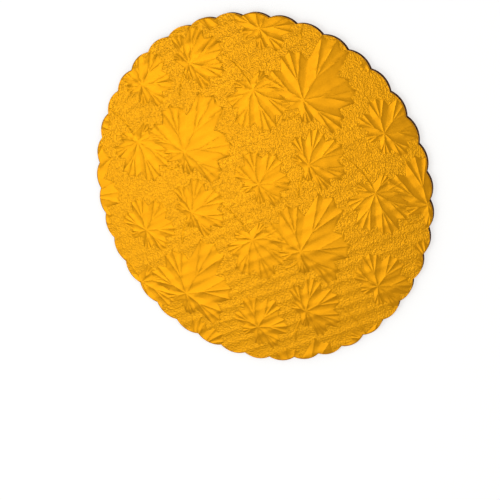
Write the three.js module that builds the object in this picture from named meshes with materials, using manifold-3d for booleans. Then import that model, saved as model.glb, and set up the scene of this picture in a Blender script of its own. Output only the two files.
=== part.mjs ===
// Round cake board with a scalloped edge, cut from single-wall corrugated board,
// with raised leaves embossed in its foil face. Millimetres, +Z up, underside on z = 0.
import * as THREE from 'three';
import { mergeVertices } from 'three/addons/utils/BufferGeometryUtils.js';
import Module from 'manifold-3d';

const wasm = await Module();
wasm.setup();

// Outline
const boardDiameter = 228.6;
const scallopCount = 40;
const scallopDepth = 2.2;
const scallopSteps = 6;

// Corrugated section
const boardThickness = 4;
const linerThickness = 0.3;
const flutingThickness = 0.26;
const flutePitch = 7.9;
const fluteTurn = 22.3;
const glueWidth = 0.9;
const fluteSteps = 7;

// Embossing: the repeat lies along the flutes, and each row is moved on by half a repeat
const repeatLength = 90.6;
const rowSpacing = 87.1;
const embossSink = 0.12;
const veinRise = 0.012;
const branchPlace = 0.36;
const stemHollowShare = 0.42;
const stemWidth = 1.1;
const stemHeight = 0.25;
const stemSteps = 4;

// A lobe's outline from the hollow before it to its tip: turn as a share of half a lobe,
// reach as a share of the tip's, and height as a share of the vein's
const halfLobe = [
  { turn: 1, reach: 0.78, height: 0.16 },
  { turn: 0.56, reach: 0.95, height: 0.68 },
  { turn: 0.3, reach: 0.9, height: 0.32 },
  { turn: 0, reach: 1, height: 0.7 },
];

// The four leaves of one repeat: place and directions in the frame of the flutes, and how far
// the tip of each lobe reaches, going round against the clock
const leaves = [
  { at: [-34, 42.6], facing: 34, spread: 280, tips: [15, 29, 34, 44, 31, 28, 15],
    stem: { towards: 199, length: 19, bend: 42 } },
  { at: [29, 60.5], facing: -93, spread: 250, tips: [13, 20, 26, 28, 26, 20, 14],
    stem: { towards: 109, length: 30, bend: -15 } },
  { at: [4.7, 5.1], facing: 32, spread: 290, tips: [13, 18, 22, 24, 22, 18, 12] },
  { at: [42, 4.7], facing: 8, spread: 255, tips: [11, 19, 24, 26, 24, 19, 11],
    stem: { towards: 225, length: 23, bend: -15 } },
];

const tipRadius = boardDiameter / 2;
const notchRadius = tipRadius - scallopDepth;
const faceReach = tipRadius + 1;

function polar(radius, degrees) {
  const angle = THREE.MathUtils.degToRad(degrees);
  return new THREE.Vector2(radius * Math.cos(angle), radius * Math.sin(angle));
}

// A closed three.js geometry, moved into place, as a solid that can be joined and cut
function toSolid(geometry, matrix = new THREE.Matrix4()) {
  const bare = geometry.clone();
  bare.deleteAttribute('normal');
  bare.deleteAttribute('uv');
  bare.applyMatrix4(matrix);
  const merged = mergeVertices(bare, 1e-5);
  const mesh = new wasm.Mesh({
    numProp: 3,
    vertProperties: new Float32Array(merged.attributes.position.array),
    triVerts: new Uint32Array(merged.index.array),
  });
  return new wasm.Manifold(mesh);
}

function toGeometry(solid) {
  const mesh = solid.getMesh();
  const geometry = new THREE.BufferGeometry();
  geometry.setAttribute('position', new THREE.BufferAttribute(mesh.vertProperties, 3));
  geometry.setIndex(new THREE.BufferAttribute(mesh.triVerts, 1));
  const flat = geometry.toNonIndexed();
  flat.computeVertexNormals();
  return flat;
}

// Each scallop is one outward arc between two sharp notches
function scallopedOutline() {
  const pitchAngle = 360 / scallopCount;
  const halfChord = notchRadius * Math.sin(THREE.MathUtils.degToRad(pitchAngle / 2));
  const rise = tipRadius - notchRadius * Math.cos(THREE.MathUtils.degToRad(pitchAngle / 2));
  const arcRadius = (halfChord ** 2 + rise ** 2) / (2 * rise);
  const arcCentre = tipRadius - arcRadius;
  const halfArc = THREE.MathUtils.radToDeg(Math.asin(halfChord / arcRadius));
  const points = [];
  for (let scallop = 0; scallop < scallopCount; scallop += 1) {
    const direction = (scallop + 0.5) * pitchAngle;
    for (let step = 0; step < scallopSteps; step += 1) {
      const onArc = direction - halfArc + (2 * halfArc * step) / scallopSteps;
      points.push(polar(arcCentre, direction).add(polar(arcRadius, onArc)));
    }
  }
  return new THREE.Shape(points);
}

function outlinePrism(bottom, top) {
  const geometry = new THREE.ExtrudeGeometry(scallopedOutline(), { depth: top - bottom, bevelEnabled: false });
  return toSolid(geometry, new THREE.Matrix4().makeTranslation(0, 0, bottom));
}

// A point on one skin of the wavy fluting, offset square to its middle line
function flutingPoint(across) {
  const waveNumber = (2 * Math.PI) / flutePitch;
  const swing = (boardThickness - 2 * linerThickness - flutingThickness) / 2;
  const slope = Math.atan(-swing * waveNumber * Math.sin(waveNumber * across));
  const middle = boardThickness / 2 + swing * Math.cos(waveNumber * across);
  return new THREE.Vector2(
    across - (flutingThickness / 2) * Math.sin(slope),
    middle + (flutingThickness / 2) * Math.cos(slope),
  );
}

// The air space between two crests, under the top liner
function channelShape() {
  const ceiling = boardThickness - linerThickness;
  const start = glueWidth / 2;
  const span = flutePitch - glueWidth;
  const points = [];
  for (let step = 0; step <= fluteSteps; step += 1) {
    points.push(flutingPoint(start + (span * step) / fluteSteps));
  }
  points.push(new THREE.Vector2(points[fluteSteps].x, ceiling));
  points.push(new THREE.Vector2(points[0].x, ceiling));
  return new THREE.Shape(points);
}

function fluteChannels() {
  const length = 2 * faceReach;
  const geometry = new THREE.ExtrudeGeometry(channelShape(), { depth: length, bevelEnabled: false });
  const alongFlutes = new THREE.Matrix4().makeRotationZ(THREE.MathUtils.degToRad(fluteTurn));
  const layFlat = new THREE.Matrix4().makeBasis(
    new THREE.Vector3(0, 1, 0),
    new THREE.Vector3(0, 0, 1),
    new THREE.Vector3(1, 0, 0),
  );
  const turnOver = new THREE.Matrix4()
    .makeTranslation(0, flutePitch / 2, boardThickness)
    .multiply(new THREE.Matrix4().makeRotationX(Math.PI));
  const count = Math.ceil(tipRadius / flutePitch) + 1;
  const channels = [];
  for (let flute = -count; flute <= count; flute += 1) {
    const upper = new THREE.Matrix4()
      .makeTranslation(-faceReach, flute * flutePitch, 0)
      .multiply(layFlat);
    const lower = new THREE.Matrix4().multiplyMatrices(turnOver, upper);
    channels.push(toSolid(geometry, new THREE.Matrix4().multiplyMatrices(alongFlutes, upper)));
    channels.push(toSolid(geometry, new THREE.Matrix4().multiplyMatrices(alongFlutes, lower)));
  }
  return wasm.Manifold.union(channels);
}

// The outline of one lobe, from the hollow before it to the last point before the next hollow
function lobeOutline(leaf, lobe) {
  const reach = leaf.tips[lobe];
  const before = leaf.tips.at(lobe - 1);
  const gap = leaf.spread / (leaf.tips.length - 1);
  const direction = leaf.facing - leaf.spread / 2 + lobe * gap;
  const [hollow, ...climb] = halfLobe;
  const firstHollow = {
    direction: lobe ? direction - gap / 2 : direction - (360 - leaf.spread) / 2,
    reach: (lobe ? hollow.reach : stemHollowShare) * Math.min(reach, before),
    height: hollow.height,
  };
  const rising = climb.map((point) => ({
    direction: direction - (point.turn * gap) / 2,
    reach: reach * point.reach,
    height: point.height,
  }));
  const falling = rising.slice(0, -1).reverse().map((point) => ({
    ...point,
    direction: 2 * direction - point.direction,
  }));
  return { direction, reach, edge: [firstHollow, ...rising, ...falling] };
}

// Flat folds: a vein runs from the middle to each tip and branches on its way, and creases
// run to the hollows between
function leafGeometry(leaf) {
  const vein = veinRise * Math.max(...leaf.tips);
  const lobes = leaf.tips.map((_, lobe) => lobeOutline(leaf, lobe));
  const edge = lobes.flatMap((lobe) => lobe.edge);
  const perLobe = lobes[0].edge.length;
  const positions = [0, 0, embossSink + vein];
  const addPoint = (reach, direction, height) => {
    const point = polar(reach, direction);
    positions.push(point.x, point.y, height);
  };
  for (const lobe of lobes) {
    addPoint(lobe.reach * branchPlace, lobe.direction, embossSink + vein);
  }
  for (const point of edge) {
    addPoint(point.reach, point.direction, embossSink + vein * point.height);
  }
  for (const point of edge) {
    addPoint(point.reach, point.direction, 0);
  }
  positions.push(0, 0, 0);
  const firstEdge = 1 + lobes.length;
  const firstFoot = firstEdge + edge.length;
  const underside = firstFoot + edge.length;
  const faces = [];
  for (let point = 0; point < edge.length; point += 1) {
    const next = (point + 1) % edge.length;
    const branch = 1 + Math.floor(point / perLobe);
    faces.push(branch, firstEdge + point, firstEdge + next);
    faces.push(firstEdge + point, firstFoot + point, firstFoot + next);
    faces.push(firstEdge + point, firstFoot + next, firstEdge + next);
    faces.push(underside, firstFoot + next, firstFoot + point);
  }
  for (let lobe = 0; lobe < lobes.length; lobe += 1) {
    const nextLobe = (lobe + 1) % lobes.length;
    const hollow = firstEdge + lobe * perLobe;
    const nextHollow = firstEdge + nextLobe * perLobe;
    faces.push(0, hollow, 1 + lobe);
    faces.push(0, 1 + lobe, nextHollow);
  }
  const geometry = new THREE.BufferGeometry();
  geometry.setAttribute('position', new THREE.Float32BufferAttribute(positions, 3));
  geometry.setIndex(faces);
  return geometry;
}

function stemGeometry(stem) {
  const bow = polar(stem.length * 0.6, stem.towards + stem.bend);
  const path = new THREE.QuadraticBezierCurve(new THREE.Vector2(), bow, polar(stem.length, stem.towards));
  const left = [];
  const right = [];
  for (let step = 0; step <= stemSteps; step += 1) {
    const point = path.getPoint(step / stemSteps);
    const along = path.getTangent(step / stemSteps);
    const sideways = new THREE.Vector2(-along.y, along.x).multiplyScalar(stemWidth / 2);
    left.push(point.clone().add(sideways));
    right.unshift(point.clone().sub(sideways));
  }
  const shape = new THREE.Shape([...right.reverse(), ...left.reverse()]);
  return new THREE.ExtrudeGeometry(shape, { depth: embossSink + stemHeight, bevelEnabled: false });
}

function repeatPlaces() {
  const places = [];
  const rows = Math.ceil(tipRadius / rowSpacing) + 1;
  const columns = Math.ceil(tipRadius / repeatLength) + 1;
  for (let row = -rows; row <= rows; row += 1) {
    for (let column = -columns; column <= columns; column += 1) {
      const shift = row % 2 ? repeatLength / 2 : 0;
      places.push([column * repeatLength + shift, row * rowSpacing]);
    }
  }
  return places;
}

function embossedLeaves() {
  const turn = new THREE.Matrix4().makeRotationZ(THREE.MathUtils.degToRad(fluteTurn));
  const raised = [];
  for (const place of repeatPlaces()) {
    for (const leaf of leaves) {
      const x = place[0] + leaf.at[0];
      const y = place[1] + leaf.at[1];
      if (Math.hypot(x, y) > tipRadius + Math.max(...leaf.tips)) {
        continue;
      }
      const shift = new THREE.Matrix4().makeTranslation(x, y, boardThickness - embossSink);
      const matrix = new THREE.Matrix4().multiplyMatrices(turn, shift);
      raised.push(toSolid(leafGeometry(leaf), matrix));
      if (leaf.stem) {
        raised.push(toSolid(stemGeometry(leaf.stem), matrix));
      }
    }
  }
  const clip = outlinePrism(boardThickness - 2 * embossSink, boardThickness + 1);
  return wasm.Manifold.union(raised).intersect(clip);
}

function cakeBoard() {
  const fluted = outlinePrism(0, boardThickness).subtract(fluteChannels());
  return toGeometry(fluted.add(embossedLeaves()));
}

const goldFoil = new THREE.MeshStandardMaterial({ color: 0xf5a61a, roughness: 0.34, metalness: 0.75 });

const board = new THREE.Mesh(cakeBoard(), goldFoil);
board.name = 'cake_board';

const product = new THREE.Group();
product.add(board);

export default product;
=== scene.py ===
import math

import bpy
import numpy as np
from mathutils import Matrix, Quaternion, Vector
from mathutils.geometry import delaunay_2d_cdt


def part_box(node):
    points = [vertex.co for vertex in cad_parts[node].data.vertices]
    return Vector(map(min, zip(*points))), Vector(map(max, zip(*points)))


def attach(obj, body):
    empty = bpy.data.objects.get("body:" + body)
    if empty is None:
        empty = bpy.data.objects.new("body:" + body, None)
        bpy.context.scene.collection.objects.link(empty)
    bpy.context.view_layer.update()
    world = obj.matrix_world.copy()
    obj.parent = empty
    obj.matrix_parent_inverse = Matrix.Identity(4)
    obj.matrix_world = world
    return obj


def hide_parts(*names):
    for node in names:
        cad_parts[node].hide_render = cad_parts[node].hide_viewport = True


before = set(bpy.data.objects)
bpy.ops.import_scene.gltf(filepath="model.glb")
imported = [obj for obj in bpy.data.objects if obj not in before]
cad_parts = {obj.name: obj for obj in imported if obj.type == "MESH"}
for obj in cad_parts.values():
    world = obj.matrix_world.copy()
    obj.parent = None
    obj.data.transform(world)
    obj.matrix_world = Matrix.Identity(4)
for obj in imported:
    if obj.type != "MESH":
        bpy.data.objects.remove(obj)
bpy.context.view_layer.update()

mm = 0.001

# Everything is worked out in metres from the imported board's box and these stock sizes
board = {
    "scallops": 40,
    "stepsPerScallop": 24,
    "scallopDepth": 2.2 * mm,
    "thickness": 4.0 * mm,
    "liner": 0.3 * mm,
    "foil": 0.26 * mm,  # the foil and the paper it is printed on, down to the facing
    "fluting": 0.26 * mm,
    "flutePitch": 7.9 * mm,
    "fluteTurn": math.radians(22.3),
    "coreInset": 0.2 * mm,  # the crushed board stands back a little under the foil's lip
}
boardLow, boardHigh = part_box("cake_board")
halfWidth = (boardHigh[0] - boardLow[0]) / 2
board["tipRadius"] = halfWidth / math.cos(math.pi / board["scallops"])


def outlineRadius(angle, inset=0.0):
    # distance from the centre to the scalloped edge, one outward arc between two notches
    pitch = 2 * math.pi / board["scallops"]
    tip = board["tipRadius"]
    notch = tip - board["scallopDepth"]
    halfChord = notch * math.sin(pitch / 2)
    rise = tip - notch * math.cos(pitch / 2)
    arc = (halfChord ** 2 + rise ** 2) / (2 * rise)
    centre = tip - arc
    off = np.mod(angle, pitch) - pitch / 2
    return centre * np.cos(off) + np.sqrt(arc ** 2 - (centre * np.sin(off)) ** 2) - inset


def edgeRing(inset):
    # points along the scalloped edge, against the clock
    count = board["scallops"] * board["stepsPerScallop"]
    angles = np.arange(count) * 2 * math.pi / count
    radii = outlineRadius(angles, inset)
    return np.stack([radii * np.cos(angles), radii * np.sin(angles)], axis=1)


def ringSides(start, count):
    # the sides between neighbours of a closed row of points
    return [(start + i, start + (i + 1) % count) for i in range(count)]


def makeMesh(name, points, faces, edges=()):
    mesh = bpy.data.meshes.new(name)
    mesh.from_pydata([tuple(point) for point in points], list(edges), faces)
    mesh.update()
    piece = bpy.data.objects.new(name, mesh)
    bpy.context.scene.collection.objects.link(piece)
    return piece


def bake(piece):
    # the evaluated result becomes a plain mesh with no modifier left
    graph = bpy.context.evaluated_depsgraph_get()
    mesh = bpy.data.meshes.new_from_object(piece.evaluated_get(graph))
    piece.modifiers.clear()
    old = piece.data
    piece.data = mesh
    bpy.data.meshes.remove(old)
    mesh.name = piece.name
    return piece


# Shader maths as plain expressions

class Value:
    def __init__(self, tree, socket):
        self.tree = tree
        self.socket = socket

    def maths(self, operation, *values):
        return self.tree.add("ShaderNodeMath", {"operation": operation}, *values)

    def __add__(self, other):
        return self.maths("ADD", self, other)

    def __radd__(self, other):
        return self.maths("ADD", other, self)

    def __sub__(self, other):
        return self.maths("SUBTRACT", self, other)

    def __rsub__(self, other):
        return self.maths("SUBTRACT", other, self)

    def __mul__(self, other):
        return self.maths("MULTIPLY", self, other)

    def __rmul__(self, other):
        return self.maths("MULTIPLY", other, self)

    def __truediv__(self, other):
        return self.maths("DIVIDE", self, other)

    def __rtruediv__(self, other):
        return self.maths("DIVIDE", other, self)


class NodeTree:
    def __init__(self, tree):
        self.tree = tree
        tree.nodes.clear()

    def node(self, kind, settings=None, values=()):
        # settings are set first, then the sockets, by name or by place
        made = self.tree.nodes.new(kind)
        for name, setting in (settings or {}).items():
            setattr(made, name, setting)
        pairs = values.items() if isinstance(values, dict) else enumerate(values)
        for place, value in pairs:
            if isinstance(value, Value):
                self.tree.links.new(value.socket, made.inputs[place])
            elif value is not None:
                made.inputs[place].default_value = value
        return made

    def add(self, kind, settings=None, *values, out=0):
        made = self.node(kind, settings, values)
        return Value(self, made.outputs[out])


def newMaterial(name):
    material = bpy.data.materials.new(name)
    material.use_nodes = True
    return material, NodeTree(material.node_tree)


def mixColours(tree, share, low, high):
    made = tree.node("ShaderNodeMix", {"data_type": "RGBA"}, {0: share, 6: low, 7: high})
    return Value(tree, made.outputs[2])


def noise(tree, where, scale, detail=2.0, rough=0.5):
    made = tree.node("ShaderNodeTexNoise", {}, {"Vector": where, "Scale": scale, "Detail": detail,
                                                "Roughness": rough})
    return Value(tree, made.outputs["Fac"])


def bump(tree, height, distance, under=None):
    made = tree.node("ShaderNodeBump", {}, {"Height": height, "Distance": distance,
                                            "Strength": 1.0, "Normal": under})
    return Value(tree, made.outputs["Normal"])


def finishMaterial(tree, sockets):
    shader = tree.node("ShaderNodeBsdfPrincipled", {}, sockets)
    out = tree.node("ShaderNodeOutputMaterial")
    tree.tree.links.new(shader.outputs[0], out.inputs[0])


foilFinish = {
    "gold": (0.92, 0.395, 0.005, 1),
    "deepGold": (0.87, 0.355, 0.003, 1),
    # the same gold painted lighter for the stippled ground: painted light that makes up for the
    # light its pebbled bump scatters away from the lamps
    "groundPaintedLighterGold": (0.955, 0.41, 0.0055, 1),
    "metallic": 1.0,
    "leafRoughness": 0.32,
    "groundRoughness": 0.30,
    "pebble": 1000.0,  # pebbles of the stippled ground, per metre
    "grain": 1700.0,
    "grainDepth": 0.175 * mm,
    "cloud": 22.0,  # faint patches of the deeper gold
    "paper": 260.0,
    "smear": 60.0,
    "smearShare": 0.10,
    "wander": 500.0,  # keeps the pebbles from lying in rows
    "wanderReach": 0.0012,
    "pebbleSoftness": 0.4,
    "pebbleShare": 0.9,
    "grainShare": 0.5,
    "leafGrainShare": 0.05,
    "paperShare": 0.12,
    "specular": 0.5,
    "coat": 0.08,
    "coatRoughness": 0.3,
}


def foilMaterial():
    material, tree = newMaterial("embossedGoldFoil")
    where = tree.add("ShaderNodeTexCoord", out=3)
    ground = tree.add("ShaderNodeAttribute", {"attribute_name": "ground"}, out=2)
    cloud = noise(tree, where, foilFinish["cloud"], 3.0)
    plain = mixColours(tree, cloud, foilFinish["deepGold"], foilFinish["gold"])
    # the stippled ground takes the lighter copy of the gold, painted light against the dimming that
    # its bump gives
    colour = mixColours(tree, ground, plain, foilFinish["groundPaintedLighterGold"])
    grain = noise(tree, where, foilFinish["grain"], 2.0, 0.6)
    paper = noise(tree, where, foilFinish["paper"], 4.0, 0.6)
    smear = noise(tree, where, foilFinish["smear"], 3.0)
    change = foilFinish["groundRoughness"] - foilFinish["leafRoughness"]
    rough = foilFinish["leafRoughness"] + ground * change + (smear - 0.5) * foilFinish["smearShare"]
    wander = tree.node("ShaderNodeTexNoise", {}, {
        "Vector": where, "Scale": foilFinish["wander"], "Detail": 1.0})
    bent = tree.node("ShaderNodeMix", {"data_type": "VECTOR"}, {
        0: foilFinish["wanderReach"], 4: where, 5: Value(tree, wander.outputs["Color"])})
    cells = tree.node("ShaderNodeTexVoronoi", {"feature": "SMOOTH_F1"}, {
        "Vector": Value(tree, bent.outputs[1]), "Scale": foilFinish["pebble"],
        "Smoothness": foilFinish["pebbleSoftness"]})
    pebbles = Value(tree, cells.outputs["Distance"])
    stipple = pebbles * foilFinish["pebbleShare"] + grain * foilFinish["grainShare"]
    height = (stipple * ground + grain * foilFinish["leafGrainShare"]
              + paper * foilFinish["paperShare"])
    finishMaterial(tree, {
        "Base Color": colour,
        "Metallic": foilFinish["metallic"],
        "Roughness": rough,
        "Specular IOR Level": foilFinish["specular"],
        "Coat Weight": foilFinish["coat"],
        "Coat Roughness": foilFinish["coatRoughness"],
        "Normal": bump(tree, height, foilFinish["grainDepth"]),
    })
    return material


paperFinish = {
    "brown": (0.25, 0.125, 0.055, 1),
    "darkBrown": (0.10, 0.045, 0.018, 1),
    "fibre": (0.38, 0.21, 0.10, 1),
    "roughness": 0.86,
    "specular": 0.25,
    "stretch": (0.25, 1.6, 1.0),  # fibres lie along the flutes
    "fibres": 900.0,
    "cloud": 70.0,
    "strandsFrom": 0.58,
    "strandsTo": 0.72,
    "strandShare": 0.55,
    "fibreDepth": 0.06 * mm,
    "ribDepth": 0.05 * mm,
}


def paperMaterial(name, ribs=0.0):
    # kraft board: long pressed fibres, cloudy patches and, on the outside, the flutes' faint ribs
    material, tree = newMaterial(name)
    where = tree.add("ShaderNodeTexCoord", out=3)
    turn = (0, 0, -board["fluteTurn"])
    along = tree.node("ShaderNodeMapping", {}, {
        "Vector": where, "Rotation": turn, "Scale": paperFinish["stretch"]})
    stretched = Value(tree, along.outputs[0])
    fibres = noise(tree, stretched, paperFinish["fibres"], 4.0, 0.65)
    cloud = noise(tree, where, paperFinish["cloud"], 3.0)
    base = mixColours(tree, cloud, paperFinish["darkBrown"], paperFinish["brown"])
    strands = tree.add("ShaderNodeMapRange", {}, fibres, paperFinish["strandsFrom"],
                       paperFinish["strandsTo"], 0.0, paperFinish["strandShare"])
    colour = mixColours(tree, strands, base, paperFinish["fibre"])
    normal = bump(tree, fibres, paperFinish["fibreDepth"])
    if ribs:
        level = tree.node("ShaderNodeMapping", {}, {"Vector": where, "Rotation": turn})
        parts = tree.node("ShaderNodeSeparateXYZ", {}, {0: Value(tree, level.outputs[0])})
        across = Value(tree, parts.outputs[1]) * (2 * math.pi / board["flutePitch"])
        wave = across.maths("COSINE", across)
        normal = bump(tree, wave, ribs, normal)
    finishMaterial(tree, {
        "Base Color": colour,
        "Roughness": paperFinish["roughness"],
        "Specular IOR Level": paperFinish["specular"],
        "Normal": normal,
    })
    return material


# The embossed face, in millimetres and degrees in the flutes' own frame

emboss = {
    "repeatLength": 90.6,
    "rowSpacing": 87.1,
    "foldHeight": 0.43,  # of the longest leaf, less with the root of the length on the others
    "longest": 44,
    "veinWidth": 1.1,
    "veinHeight": 0.09,
    "branchPlace": 0.36,
    "stemHollow": 0.42,
    "flank": 0.4,  # width of the slope round a leaf
    "stemWidth": 1.3,
    "stemHeight": 0.24,
    "stemSteps": 12,
    "stemBow": 0.6,  # place of the stem's pull towards its bend, as a share of its length
    "stemFoot": 3,  # how sharply the ground ends at a stem
    "sag": 0.155,  # how far the face dips between two crests of the fluting
    "buckle": 0.02,  # slight waves all over the foil
    "buckleLength": 7.0,
    "buckleWaves": 9,
    "stipple": 0.08,
    "stippleSpacing": 0.77,
    "leafSpacing": 1.15,
    "shake": 0.25,  # how far a point is moved off its even place, in spacings
    "nearlyAll": 0.99,
    "linerSpacing": 8.0,
    "lineStep": 1.3,  # distance between points along a crease
    "softness": 0.28,  # radius over which the foil rounds off a crease
    "softSamples": 6,
    "sharpFold": 9,  # degrees from which a fold is drawn as a sharp line
    "lip": 0.7,  # width of the rolled edge that the die leaves
    "lipRings": (0.4, 1.0),
    "lipDrop": 0.12,
    "weld": 1e-5,
    "slack": 1e-6,
    "seed": 11,
}

# the four leaves of one repeat, with how far the tip of each lobe reaches, against the clock
leaves = [
    {"at": (-34, 42.6), "facing": 34, "spread": 280, "tips": (15, 29, 34, 44, 31, 28, 15),
     "stem": {"towards": 199, "length": 19, "bend": 42}},
    {"at": (29, 60.5), "facing": -93, "spread": 250, "tips": (13, 20, 26, 28, 26, 20, 14),
     "stem": {"towards": 109, "length": 30, "bend": -15}},
    {"at": (4.7, 5.1), "facing": 32, "spread": 290, "tips": (13, 18, 22, 24, 22, 18, 12)},
    {"at": (42, 4.7), "facing": 8, "spread": 255, "tips": (11, 19, 24, 26, 24, 19, 11),
     "stem": {"towards": 225, "length": 23, "bend": -15}},
]

# half a lobe from hollow to tip: turn in half lobes, reach as a share of the tip's,
# height as a share of the vein's
halfLobe = [(1.0, 0.78, 0.12), (0.56, 0.95, 0.66), (0.3, 0.9, 0.3), (0.0, 1.0, 0.7)]


def polar(reach, degrees):
    return np.array([math.cos(math.radians(degrees)), math.sin(math.radians(degrees))]) * reach


def toBoard(u, v):
    turn = board["fluteTurn"]
    return u * math.cos(turn) - v * math.sin(turn), u * math.sin(turn) + v * math.cos(turn)


def lobeOutline(leaf, lobe):
    # from the hollow before a lobe to the last point before the next hollow
    gap = leaf["spread"] / (len(leaf["tips"]) - 1)
    direction = leaf["facing"] - leaf["spread"] / 2 + lobe * gap
    reach = leaf["tips"][lobe]
    lower = min(reach, leaf["tips"][lobe - 1])
    _, hollowReach, hollowHeight = halfLobe[0]
    back = gap / 2 if lobe else (360 - leaf["spread"]) / 2
    hollow = hollowReach if lobe else emboss["stemHollow"]
    edge = [(lower * hollow, direction - back, hollowHeight)]
    for side, half in ((-1, halfLobe[1:]), (1, halfLobe[-2:0:-1])):
        for turn, share, height in half:
            edge.append((reach * share, direction + side * turn * gap / 2, height))
    return direction, reach, edge


def leafFolds(leaf):
    # flat folds round branching veins: points, their heights, the triangles and the creases
    lobes = len(leaf["tips"])
    vein = emboss["foldHeight"] * math.sqrt(max(leaf["tips"]) / emboss["longest"])
    outlines = [lobeOutline(leaf, lobe) for lobe in range(lobes)]
    edge = [point for outline in outlines for point in outline[2]]
    count, perLobe = len(edge), len(edge) // lobes
    points = [np.zeros(2)]
    points += [polar(reach * emboss["branchPlace"], turn) for turn, reach, _ in outlines]
    points += [polar(reach, turn) for reach, turn, _ in edge]
    points += [polar(reach + emboss["flank"], turn) for reach, turn, _ in edge]
    heights = [vein] * (1 + lobes) + [vein * share for _, _, share in edge] + [0.0] * count
    rim, foot = 1 + lobes, 1 + lobes + count
    triangles = []
    for lobe in range(lobes):
        here, following = rim + lobe * perLobe, rim + (lobe + 1) % lobes * perLobe
        triangles += [(0, here, 1 + lobe), (0, 1 + lobe, following)]
    for i in range(count):
        after = (i + 1) % count
        triangles.append((1 + i // perLobe, rim + i, rim + after))
        triangles += [(rim + i, foot + i, foot + after), (rim + i, foot + after, rim + after)]
    creases = {tuple(sorted(pair)) for a, b, c in triangles for pair in ((a, b), (b, c), (a, c))}
    return np.array(points), np.array(heights), triangles, sorted(creases)


def stemLines(stem):
    # the stem's middle line and its two sides
    bow = polar(stem["length"] * emboss["stemBow"], stem["towards"] + stem["bend"])
    end = polar(stem["length"], stem["towards"])
    t = np.linspace(0, 1, emboss["stemSteps"] + 1)[:, None]
    middle = 2 * t * (1 - t) * bow + t * t * end
    along = 2 * (1 - 2 * t) * bow + 2 * t * end
    along /= np.linalg.norm(along, axis=1)[:, None]
    aside = np.stack([-along[:, 1], along[:, 0]], axis=1) * emboss["stemWidth"] / 2
    return middle, middle + aside, middle - aside


def placedLeaves():
    # every leaf that reaches the board, with its centre on the board
    reach = board["tipRadius"] / mm
    placed = []
    for row in range(-3, 4):
        for column in range(-3, 4):
            for leaf in leaves:
                u = (column + row % 2 / 2) * emboss["repeatLength"] + leaf["at"][0]
                v = row * emboss["rowSpacing"] + leaf["at"][1]
                if math.hypot(u, v) < reach + max(leaf["tips"]):
                    placed.append((u, v, leaf))
    return placed


def lineDistance(u, v, path):
    nearest = np.full(u.shape, 1e9)
    for start, end in zip(path[:-1], path[1:]):
        span = end - start
        share = np.clip(((u - start[0]) * span[0] + (v - start[1]) * span[1]) / (span @ span), 0, 1)
        away = np.hypot(u - start[0] - share * span[0], v - start[1] - share * span[1])
        nearest = np.minimum(nearest, away)
    return nearest


def stemRelief(u, v, stem):
    nearest = lineDistance(u, v, stemLines(stem)[0])
    inside = np.clip(1 - (2 * nearest / emboss["stemWidth"]) ** 2, 0, 1)
    return emboss["stemHeight"] * np.sqrt(inside)


def leafVeins(leaf):
    # the raised lines of a leaf: from its middle to each tip, and from each branching to its teeth
    veins = []
    for lobe in range(len(leaf["tips"])):
        direction, reach, edge = lobeOutline(leaf, lobe)
        branch = polar(reach * emboss["branchPlace"], direction)
        tips = [polar(*edge[i][:2]) for i in (1, 3, 5)]
        veins += [(np.zeros(2), tips[1]), (branch, tips[0]), (branch, tips[2])]
    return veins


def veinSides(vein):
    start, end = vein
    along = (end - start) / np.linalg.norm(end - start)
    aside = np.array([-along[1], along[0]]) * emboss["veinWidth"] / 2
    return (start + aside, end + aside), (start - aside, end - aside)


def foilBuckle(u, v):
    random = np.random.default_rng(emboss["seed"] + 2)
    waves = np.zeros(u.shape)
    for turn, stretch, phase in random.random((emboss["buckleWaves"], 3)):
        length = emboss["buckleLength"] * (0.7 + stretch)
        across = u * math.cos(math.pi * turn) + v * math.sin(math.pi * turn)
        waves += np.sin(2 * math.pi * (across / length + phase))
    return emboss["buckle"] * waves / 3


def foldRelief(u, v, leaf):
    # the height of a leaf's flat folds and the share of ground left, at points round its middle
    relief, ground = np.zeros(u.shape), np.ones(u.shape)
    points, heights, triangles, _ = leafFolds(leaf)
    for triangle in triangles:
        (ax, ay), (bx, by), (cx, cy) = points[list(triangle)]
        area = (bx - ax) * (cy - ay) - (cx - ax) * (by - ay)
        shareB = ((u - ax) * (cy - ay) - (cx - ax) * (v - ay)) / area
        shareC = ((bx - ax) * (v - ay) - (u - ax) * (by - ay)) / area
        shares = (1 - shareB - shareC, shareB, shareC)
        inside = np.minimum(np.minimum(*shares[:2]), shares[2]) > -emboss["slack"]
        level = sum(share * heights[corner] for share, corner in zip(shares, triangle))
        cover = sum(share * (heights[corner] > 0) for share, corner in zip(shares, triangle))
        relief[inside] = np.maximum(relief[inside], level[inside])
        ground[inside] = np.minimum(ground[inside], 1 - cover[inside])
    return relief, ground


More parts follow.
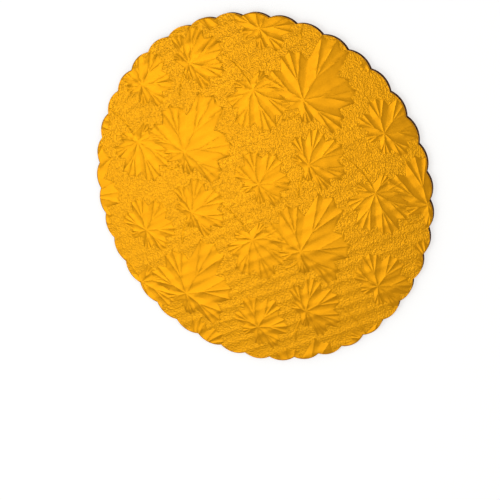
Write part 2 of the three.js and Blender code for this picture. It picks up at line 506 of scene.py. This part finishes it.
def faceRelief(x, y):
    # height above the plain face in millimetres, and 1 on the stippled ground or 0 on a leaf
    turn = board["fluteTurn"]
    u = x * math.cos(turn) + y * math.sin(turn)
    v = -x * math.sin(turn) + y * math.cos(turn)
    relief, ground, veinRise = np.zeros(x.shape), np.ones(x.shape), np.zeros(x.shape)
    for middleU, middleV, leaf in placedLeaves():
        near = np.nonzero(np.hypot(u - middleU, v - middleV) < max(leaf["tips"]) + 1)[0]
        nearU, nearV = u[near] - middleU, v[near] - middleV
        fold, left = foldRelief(nearU, nearV, leaf)
        relief[near] = np.maximum(relief[near], fold)
        ground[near] = np.minimum(ground[near], left)
        nearest = np.full(nearU.shape, 1e9)
        for vein in leafVeins(leaf):
            nearest = np.minimum(nearest, lineDistance(nearU, nearV, vein))
        line = np.clip(1 - 2 * nearest / emboss["veinWidth"], 0, 1)
        veinRise[near] = np.maximum(veinRise[near], emboss["veinHeight"] * line)
        if "stem" in leaf:
            rise = stemRelief(nearU, nearV, leaf["stem"])
            relief[near] = np.maximum(relief[near], rise)
            left = 1 - np.clip(rise / emboss["stemHeight"] * emboss["stemFoot"], 0, 1)
            ground[near] = np.minimum(ground[near], left)
    pitch = board["flutePitch"] / mm
    sag = emboss["sag"] * np.abs(np.sin(math.pi * v / pitch))
    waves = foilBuckle(u, v) * np.clip(1 - relief / emboss["foldHeight"], 0, 1)
    return relief + veinRise * (ground < 0.5) - sag + waves, np.clip(ground, 0, 1)


def softRelief(x, y):
    # the relief with its creases rounded off, as foil takes them from a die
    samples = emboss["softSamples"]
    relief, ground = faceRelief(x, y)
    onLeaf = np.nonzero(ground < emboss["nearlyAll"])[0]
    total = relief[onLeaf]
    for step in range(samples):
        aside = polar(emboss["softness"], 360 / samples * step)
        total = total + faceRelief(x[onLeaf] + aside[0], y[onLeaf] + aside[1])[0]
    relief[onLeaf] = total / (samples + 1)
    return relief, ground


def spreadPoints(spacing, random):
    # an even, slightly shaken spread of points over the face, in millimetres
    reach = board["tipRadius"] / mm
    columns = np.arange(-reach, reach, spacing)
    rows = np.arange(-reach, reach, spacing * math.sqrt(3) / 2)
    x, y = np.meshgrid(columns, rows, indexing="ij")
    x = x + (np.arange(len(rows)) % 2) * spacing / 2
    shake = emboss["shake"]
    x = x.ravel() + random.uniform(-shake, shake, x.size) * spacing
    y = y.ravel() + random.uniform(-shake, shake, y.size) * spacing
    clear = outlineRadius(np.arctan2(y, x)) / mm - np.hypot(x, y) > emboss["lip"]
    return x[clear], y[clear]


def addPath(points, lines, path):
    # a line on the face as a row of closely set points
    first = len(points)
    points.append(toBoard(*path[0]))
    for start, end in zip(path[:-1], path[1:]):
        span = np.subtract(end, start)
        steps = max(1, round(math.hypot(*span) / emboss["lineStep"]))
        for step in range(1, steps + 1):
            points.append(toBoard(*(np.array(start) + span * step / steps)))
    lines += [(i, i + 1) for i in range(first, len(points) - 1)]


def insideTriangles(points, lines, inset):
    # even triangles through all the points and lines, kept where they lie within the scallops
    made = delaunay_2d_cdt([Vector(point) for point in points], lines, [], 0, emboss["weld"])
    flat, faces = np.array([tuple(point) for point in made[0]]), np.array(made[2])
    x, y = flat[faces].mean(axis=1).T
    onBoard = np.hypot(x, y) < outlineRadius(np.arctan2(y, x), inset) / mm
    used, order = np.unique(faces[onBoard], return_inverse=True)
    return flat[used], [tuple(face) for face in order.reshape(-1, 3).tolist()]


def faceTriangles():
    # the scalloped face in triangles whose sides follow every crease and the rolled rim
    random = np.random.default_rng(emboss["seed"])
    points = [tuple(point / mm) for point in edgeRing(0.0)]
    rimCount = len(points)
    lines = []
    for share in emboss["lipRings"]:
        lines += ringSides(len(points), rimCount)
        points += [tuple(point / mm) for point in edgeRing(emboss["lip"] * mm * share)]
    for middleU, middleV, leaf in placedLeaves():
        corners, _, _, creases = leafFolds(leaf)
        paths = [corners[list(crease)] for crease in creases]
        paths += [side for vein in leafVeins(leaf) for side in veinSides(vein)]
        paths += stemLines(leaf["stem"]) if "stem" in leaf else []
        for path in paths:
            addPath(points, lines, [(middleU + u, middleV + v) for u, v in path])
    x, y = spreadPoints(emboss["stippleSpacing"], random)
    keep = faceRelief(x, y)[1] > emboss["nearlyAll"]
    points += list(zip(x[keep], y[keep]))
    x, y = spreadPoints(emboss["leafSpacing"], random)
    keep = faceRelief(x, y)[1] < 1 - emboss["nearlyAll"]
    points += list(zip(x[keep], y[keep]))
    return insideTriangles(points, lines + ringSides(0, rimCount), 0.0)


def rimLoop(faces):
    # the corners along the open edge of the sheet, in order
    sides = {side for a, b, c in faces for side in ((a, b), (b, c), (c, a))}
    after = {start: end for start, end in sides if (end, start) not in sides}
    loop = [min(after)]
    while after[loop[-1]] != loop[0]:
        loop.append(after[loop[-1]])
    return loop


def foilFace():
    flat, faces = faceTriangles()
    x, y = flat.T
    relief, ground = softRelief(x, y)
    random = np.random.default_rng(emboss["seed"] + 1)
    stippled = ground > emboss["nearlyAll"]
    relief = relief + stippled * emboss["stipple"] * (random.random(len(relief)) - 0.5)
    inward = outlineRadius(np.arctan2(y, x)) / mm - np.hypot(x, y)
    roll = np.clip(1 - inward / emboss["lip"], 0, 1)
    relief = relief * (1 - roll) - emboss["lipDrop"] * roll ** 2
    top = np.stack([x * mm, y * mm, board["thickness"] + relief * mm], axis=1)
    rim = rimLoop(faces)
    base = top[rim].copy()
    base[:, 2] = board["thickness"] - board["foil"]
    first, count = len(top), len(rim)
    for i in range(count):
        follow = (i + 1) % count
        faces.append((rim[i], first + i, first + follow, rim[follow]))
    faces.append(tuple(range(first + count - 1, first - 1, -1)))
    piece = makeMesh("foilFace", np.vstack([top, base]), faces)
    spread = piece.data.attributes.new("ground", "FLOAT", "POINT")
    spread.data.foreach_set("value", np.concatenate([ground, np.zeros(count)]).astype(np.float32))
    piece.data.shade_smooth()
    piece.data.set_sharp_from_angle(angle=math.radians(emboss["sharpFold"]))
    piece.data.materials.append(foilMaterial())
    print("foil face has", len(faces), "faces, rim", count)
    return piece


def outlinePrism(name, low, high, inset):
    # a flat sheet of board cut to the scallops, in even triangles
    edge = [tuple(point / mm) for point in edgeRing(inset)]
    x, y = spreadPoints(emboss["linerSpacing"], np.random.default_rng(emboss["seed"]))
    flat, upper = insideTriangles(edge + list(zip(x, y)), ringSides(0, len(edge)), inset)
    flat = flat * mm
    count, rim = len(flat), rimLoop(upper)
    points = [(*point, high) for point in flat] + [(*point, low) for point in flat]
    faces = list(upper) + [(c + count, b + count, a + count) for a, b, c in upper]
    for here, after in zip(rim, rim[1:] + rim[:1]):
        faces.append((here, here + count, after + count, after))
    return makeMesh(name, points, faces)


# Geometry Nodes

def newTree(name, inputs):
    tree = bpy.data.node_groups.new(name, "GeometryNodeTree")
    tree.interface.new_socket("Geometry", in_out="INPUT", socket_type="NodeSocketGeometry")
    tree.interface.new_socket("Geometry", in_out="OUTPUT", socket_type="NodeSocketGeometry")
    for socketName, kind in inputs.items():
        tree.interface.new_socket(socketName, in_out="INPUT", socket_type=kind)
    nodes = NodeTree(tree)
    group = nodes.node("NodeGroupInput")
    return tree, nodes, {socket.name: Value(nodes, socket) for socket in group.outputs}


def growNodes(piece, tree, values):
    modifier = piece.modifiers.new(tree.name, "NODES")
    modifier.node_group = tree
    entries = [item for item in tree.interface.items_tree if item.in_out == "INPUT"]
    sockets = {entry.name: entry.identifier for entry in entries}
    for name, value in values.items():
        modifier[sockets[name]] = value
    return bake(piece)


def coverWith(piece, material):
    # one material on every face, also on those that a cut has made, and no empty slot
    piece.data.materials.clear()
    piece.data.materials.append(material)
    piece.data.polygons.foreach_set("material_index", [0] * len(piece.data.polygons))
    return piece


fluting = {
    "reach": 2.1,  # length of the sheet before it is cut, in outer radii
    "spareFlutes": 2,
    "stepsPerFlute": 20,
    "weld": 1e-6,
    "cutterSpare": 1 * mm,
}


def flutingTree(material):
    tree, nodes, given = newTree("wavyFluting", {
        "Length": "NodeSocketFloat", "Flutes": "NodeSocketInt", "Pitch": "NodeSocketFloat",
        "Swing": "NodeSocketFloat", "Thickness": "NodeSocketFloat", "Middle": "NodeSocketFloat",
        "Turn": "NodeSocketFloat", "Steps per flute": "NodeSocketInt",
    })
    width = given["Flutes"] * given["Pitch"]
    rows = given["Flutes"] * given["Steps per flute"] + 1
    grid = nodes.node("GeometryNodeMeshGrid", {}, {
        "Size X": given["Length"], "Size Y": width, "Vertices X": 2, "Vertices Y": rows})
    place = nodes.add("GeometryNodeInputPosition")
    parts = nodes.node("ShaderNodeSeparateXYZ", {}, {0: place})
    across = Value(nodes, parts.outputs[1])
    wave = across.maths("COSINE", across * (2 * math.pi) / given["Pitch"]) * given["Swing"]
    lift = nodes.node("ShaderNodeCombineXYZ", {}, {2: wave + given["Middle"]})
    waved = nodes.node("GeometryNodeSetPosition", {}, {
        "Geometry": Value(nodes, grid.outputs[0]), "Offset": Value(nodes, lift.outputs[0])})
    sheet = Value(nodes, waved.outputs[0])
    half = nodes.node("GeometryNodeSetPosition", {}, {
        "Geometry": sheet, "Offset": skinOffset(nodes, given["Thickness"] * -0.5)})
    under = Value(nodes, half.outputs[0])
    thick = nodes.node("GeometryNodeExtrudeMesh", {"mode": "FACES"}, {
        "Mesh": under, "Offset Scale": given["Thickness"], "Individual": False})
    turned = nodes.node("GeometryNodeFlipFaces", {}, {"Mesh": under})
    joined = nodes.node("GeometryNodeJoinGeometry")
    nodes.tree.links.new(thick.outputs[0], joined.inputs[0])
    nodes.tree.links.new(turned.outputs[0], joined.inputs[0])
    merged = nodes.node("GeometryNodeMergeByDistance", {}, {
        "Geometry": Value(nodes, joined.outputs[0]), "Distance": fluting["weld"]})
    spin = nodes.node("ShaderNodeCombineXYZ", {}, {2: given["Turn"]})
    laid = nodes.node("GeometryNodeTransform", {}, {
        "Geometry": Value(nodes, merged.outputs[0]), "Rotation": Value(nodes, spin.outputs[0])})
    closeTree(nodes, Value(nodes, laid.outputs[0]), material)
    return tree


def skinOffset(nodes, distance):
    normal = nodes.add("GeometryNodeInputNormal")
    scaled = nodes.node("ShaderNodeVectorMath", {"operation": "SCALE"}, {
        0: normal, "Scale": distance})
    return Value(nodes, scaled.outputs[0])


def closeTree(nodes, geometry, material):
    real = nodes.node("GeometryNodeRealizeInstances", {}, {"Geometry": geometry})
    dressed = nodes.node("GeometryNodeSetMaterial", {}, {
        "Geometry": Value(nodes, real.outputs[0]), "Material": material})
    out = nodes.node("NodeGroupOutput")
    nodes.tree.links.new(dressed.outputs[0], out.inputs[0])


def flutingSheet():
    material = paperMaterial("flutingPaper")
    tree = flutingTree(material)
    piece = makeMesh("flutingSheet", [(0, 0, 0)], [])
    flutes = 2 * math.ceil(board["tipRadius"] / board["flutePitch"]) + fluting["spareFlutes"]
    growNodes(piece, tree, {
        "Length": fluting["reach"] * board["tipRadius"],
        "Flutes": flutes,
        "Pitch": board["flutePitch"],
        "Swing": (board["thickness"] - 2 * board["liner"] - board["fluting"]) / 2,
        "Thickness": board["fluting"],
        "Middle": board["thickness"] / 2,
        "Turn": board["fluteTurn"],
        "Steps per flute": fluting["stepsPerFlute"],
    })
    cutter = outlinePrism("flutingCutter", -fluting["cutterSpare"],
                          board["thickness"] + fluting["cutterSpare"], board["coreInset"])
    cut = piece.modifiers.new("scallops", "BOOLEAN")
    cut.operation = "INTERSECT"
    cut.solver = "EXACT"
    cut.object = cutter
    bake(piece)
    bpy.data.objects.remove(cutter)
    return coverWith(piece, material)


def linerSheet(name, low, high, ribs):
    piece = outlinePrism(name, low, high, board["coreInset"])
    piece.data.materials.append(paperMaterial(name + "Paper", ribs))
    return piece


cutFibres = {
    "spacing": 0.55 * mm,
    "length": 0.28 * mm,
    "thickness": 0.03 * mm,
    "inset": 0.5 * mm,
    "scatter": 0.2 * mm,
    "tipShare": 0.3,  # thickness of a fibre's end
    "sides": 4,
    "anyTurn": 6.28,
    "shortest": 0.4,
    "facingTop": 0.1 * mm,  # below the face
    "backingTop": 0.36 * mm,  # above the underside
    "seed": 5,
}


def fibreTree(material):
    tree, nodes, given = newTree("raggedFibres", {
        "Spacing": "NodeSocketFloat", "Length": "NodeSocketFloat", "Thickness": "NodeSocketFloat",
        "Depth": "NodeSocketFloat", "Seed": "NodeSocketInt",
    })
    curve = nodes.node("GeometryNodeMeshToCurve", {}, {"Mesh": given["Geometry"]})
    spots = nodes.node("GeometryNodeCurveToPoints", {"mode": "LENGTH"}, {
        "Curve": Value(nodes, curve.outputs[0]), "Length": given["Spacing"]})
    drop = nodes.node("FunctionNodeRandomValue", {"data_type": "FLOAT_VECTOR"}, {
        0: (-cutFibres["scatter"], -cutFibres["scatter"], 0.0),
        1: (cutFibres["scatter"], cutFibres["scatter"], 1.0), "Seed": given["Seed"]})
    parts = nodes.node("ShaderNodeSeparateXYZ", {}, {0: Value(nodes, drop.outputs[0])})
    shift = nodes.node("ShaderNodeCombineXYZ", {}, {
        0: Value(nodes, parts.outputs[0]), 1: Value(nodes, parts.outputs[1]),
        2: Value(nodes, parts.outputs[2]) * given["Depth"]})
    moved = nodes.node("GeometryNodeSetPosition", {}, {
        "Geometry": Value(nodes, spots.outputs[0]), "Offset": Value(nodes, shift.outputs[0])})
    hair = nodes.node("GeometryNodeMeshCone", {"fill_type": "NGON"}, {
        "Vertices": cutFibres["sides"], "Radius Top": given["Thickness"] * cutFibres["tipShare"],
        "Radius Bottom": given["Thickness"], "Depth": given["Length"]})
    tilt = nodes.node("FunctionNodeRandomValue", {"data_type": "FLOAT_VECTOR"}, {
        0: (0.0, 0.0, 0.0), 1: (cutFibres["anyTurn"],) * 3, "Seed": given["Seed"]})
    size = nodes.node("FunctionNodeRandomValue", {"data_type": "FLOAT"}, {
        2: cutFibres["shortest"], 3: 1.0, "Seed": given["Seed"]})
    placed = nodes.node("GeometryNodeInstanceOnPoints", {}, {
        "Points": Value(nodes, moved.outputs[0]), "Instance": Value(nodes, hair.outputs[0]),
        "Rotation": Value(nodes, tilt.outputs[0]), "Scale": Value(nodes, size.outputs[1])})
    closeTree(nodes, Value(nodes, placed.outputs[0]), material)
    return tree


def edgeFibres(name, low, high, seed):
    edge = edgeRing(cutFibres["inset"])
    piece = makeMesh(name, [(*point, low) for point in edge], [], ringSides(0, len(edge)))
    material = paperMaterial(name + "Paper")
    growNodes(piece, fibreTree(material), {
        "Spacing": cutFibres["spacing"], "Length": cutFibres["length"],
        "Thickness": cutFibres["thickness"], "Depth": high - low, "Seed": seed,
    })
    return coverWith(piece, material)


# Camera, light and floor

view = {
    "lens": 89.0,
    "sensor": 36,
    "near": 0.01,
    "aim": (-7.4 * mm, -37.8 * mm, 4.0 * mm),
    "distance": 795.5 * mm,
    "azimuth": 39.63,
    "elevation": 59.74,
    "roll": -130.46,
}


def placeCamera():
    camera = bpy.data.objects.new("camera", bpy.data.cameras.new("camera"))
    bpy.context.scene.collection.objects.link(camera)
    camera.data.lens = view["lens"]
    camera.data.sensor_width = view["sensor"]
    camera.data.clip_start = view["near"]
    turn, lift = math.radians(view["azimuth"]), math.radians(view["elevation"])
    level = math.cos(lift)
    away = Vector((level * math.cos(turn), level * math.sin(turn), math.sin(lift)))
    camera.location = Vector(view["aim"]) + away * view["distance"]
    facing = (-away).to_track_quat("-Z", "Y")
    camera.rotation_mode = "QUATERNION"
    camera.rotation_quaternion = facing @ Quaternion((0, 0, 1), math.radians(view["roll"]))
    bpy.context.scene.camera = camera


studio = {
    "world": (1.0, 0.985, 0.96, 1),
    "worldStrength": 0.44,
    "floor": (0.86, 0.86, 0.86, 1),
    "floorRoughness": 0.9,
    "floorGlow": 0.56,
    "floorReach": 6,
    "floorLevel": -0.05 * mm,  # a hair below the underside, so that no two faces share a plane
}

# name, place, size, power and turn; the first two lie along the flutes
panels = [
    ("keyPanel", (-0.534, -0.359, 1.0), (0.62, 0.48), 1.06, board["fluteTurn"]),
    ("rimPanel", (-0.573, -0.051, 0.99), (0.42, 0.09), 0.42, board["fluteTurn"]),
    ("fillPanel", (0.7, 0.9, 1.0), (1.2, 1.2), 1.0, 0.0),
]


def softPanel(name, place, size, power, turn):
    # a flat lamp that faces straight down
    lamp = bpy.data.lights.new(name, "AREA")
    lamp.shape = "RECTANGLE"
    lamp.size, lamp.size_y = size
    lamp.energy = power
    panel = bpy.data.objects.new(name, lamp)
    bpy.context.scene.collection.objects.link(panel)
    panel.location = place
    panel.rotation_euler = (0, 0, turn)


def lightStudio():
    world = bpy.data.worlds.new("studio")
    bpy.context.scene.world = world
    world.use_nodes = True
    background = world.node_tree.nodes["Background"]
    background.inputs[0].default_value = studio["world"]
    background.inputs[1].default_value = studio["worldStrength"]
    for panel in panels:
        softPanel(*panel)
    bpy.context.scene.view_settings.view_transform = "Standard"


def layFloor():
    sides = ((-1, -1), (1, -1), (1, 1), (-1, 1))
    corners = [(x * studio["floorReach"], y * studio["floorReach"], studio["floorLevel"])
               for x, y in sides]
    floor = makeMesh("floor", corners, [(0, 1, 2, 3)])
    material, tree = newMaterial("paleFloor")
    finishMaterial(tree, {
        "Base Color": studio["floor"],
        "Roughness": studio["floorRoughness"],
        "Emission Color": (1, 1, 1, 1),
        "Emission Strength": studio["floorGlow"],
    })
    floor.data.materials.append(material)


def dress(piece):
    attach(piece, "root")
    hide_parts("cake_board")


placeCamera()
lightStudio()
layFloor()
print("camera, light and floor are placed")

dress(foilFace())
print("embossed foil face is made")

face, facingLow = board["thickness"], board["thickness"] - board["liner"]
dress(linerSheet("facingLiner", facingLow, face - board["foil"], 0.0))
dress(linerSheet("backingLiner", 0.0, board["liner"], paperFinish["ribDepth"]))
dress(flutingSheet())
print("liners and fluting are made")

dress(edgeFibres("facingFibres", facingLow, face - cutFibres["facingTop"], cutFibres["seed"]))
dress(edgeFibres("backingFibres", board["liner"], cutFibres["backingTop"], cutFibres["seed"] + 1))
print("cut edge is frayed")
